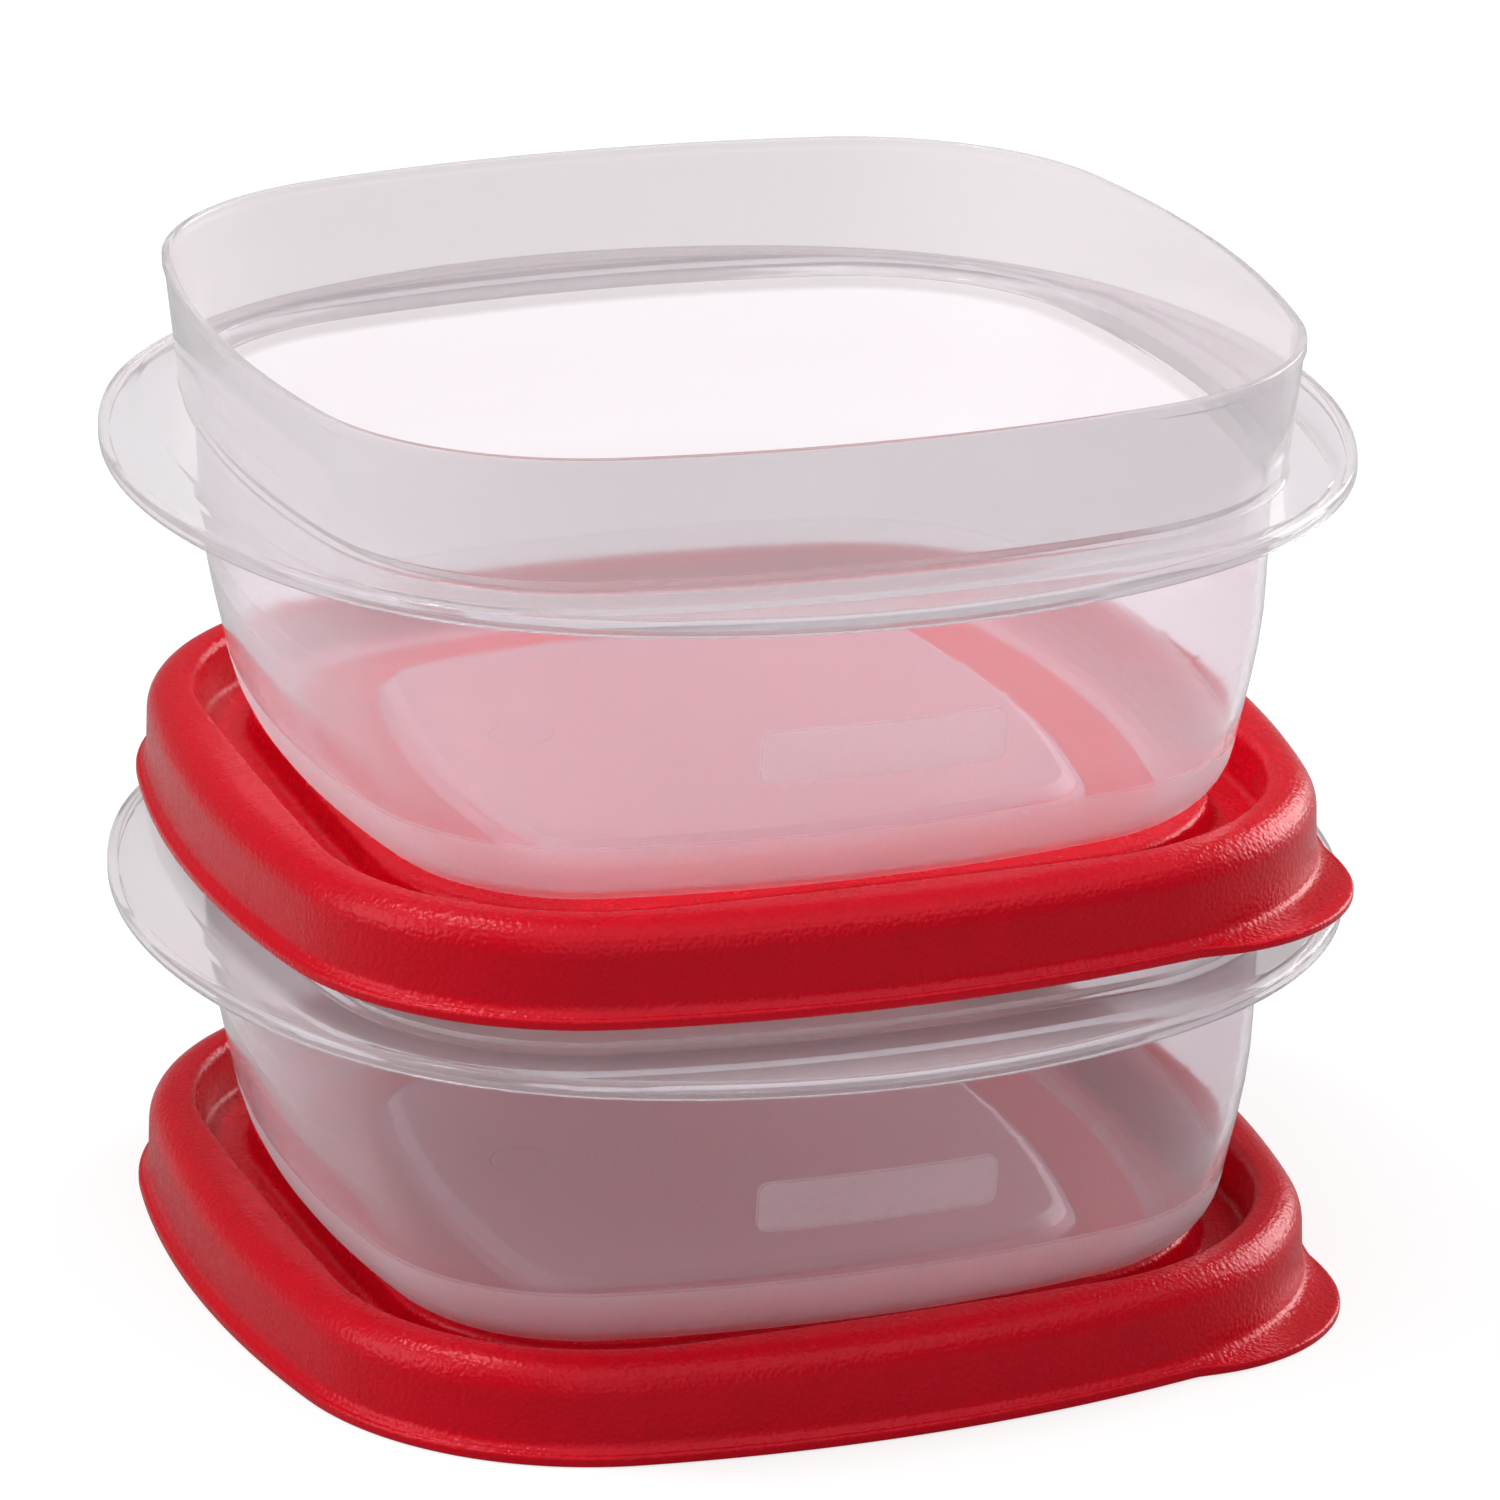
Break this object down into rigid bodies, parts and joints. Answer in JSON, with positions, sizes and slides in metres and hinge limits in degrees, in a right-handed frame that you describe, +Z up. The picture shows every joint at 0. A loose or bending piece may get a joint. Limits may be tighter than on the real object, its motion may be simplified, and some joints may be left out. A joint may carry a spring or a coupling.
{
  "type": "snap lid food container",
  "caption": "Stack of square clear food containers with flared collars and flanges, each standing in the recess of a red snap lid with a lift tab.",
  "frame": {"origin": "on the table, under the centre of the two containers and the upper lid; the lower lid is 2.7 mm off that centre and turned 1.9 degrees", "axes": "+Z up the stack; the lids' lift tabs are at the +X, -Y corner; the four sides face +X, -X, +Y and -Y"},
  "size_m": [0.131, 0.131, 0.1076],
  "materials": {
    "lid": "opaque red polyethylene with a fine moulded grain and a satin sheen",
    "container": "clear, slightly milky polypropylene, frosted round the base"
  },
  "bodies": {
    "lower_lid": {"lower_lid": "lid"},
    "lower_container": {"lower_container": "container"},
    "upper_lid": {"upper_lid": "lid"},
    "upper_container": {"upper_container": "container"}
  },
  "joints": [
    {"name": "lower_container_lift", "type": "slide", "parent": "lower_lid", "child": "lower_container", "axis": [0, 0, 1], "range_m": [0, 0.06]},
    {"name": "upper_lid_lift", "type": "slide", "parent": "lower_container", "child": "upper_lid", "axis": [0, 0, 1], "range_m": [0, 0.06]},
    {"name": "upper_container_lift", "type": "slide", "parent": "upper_lid", "child": "upper_container", "axis": [0, 0, 1], "range_m": [0, 0.06]}
  ]
}
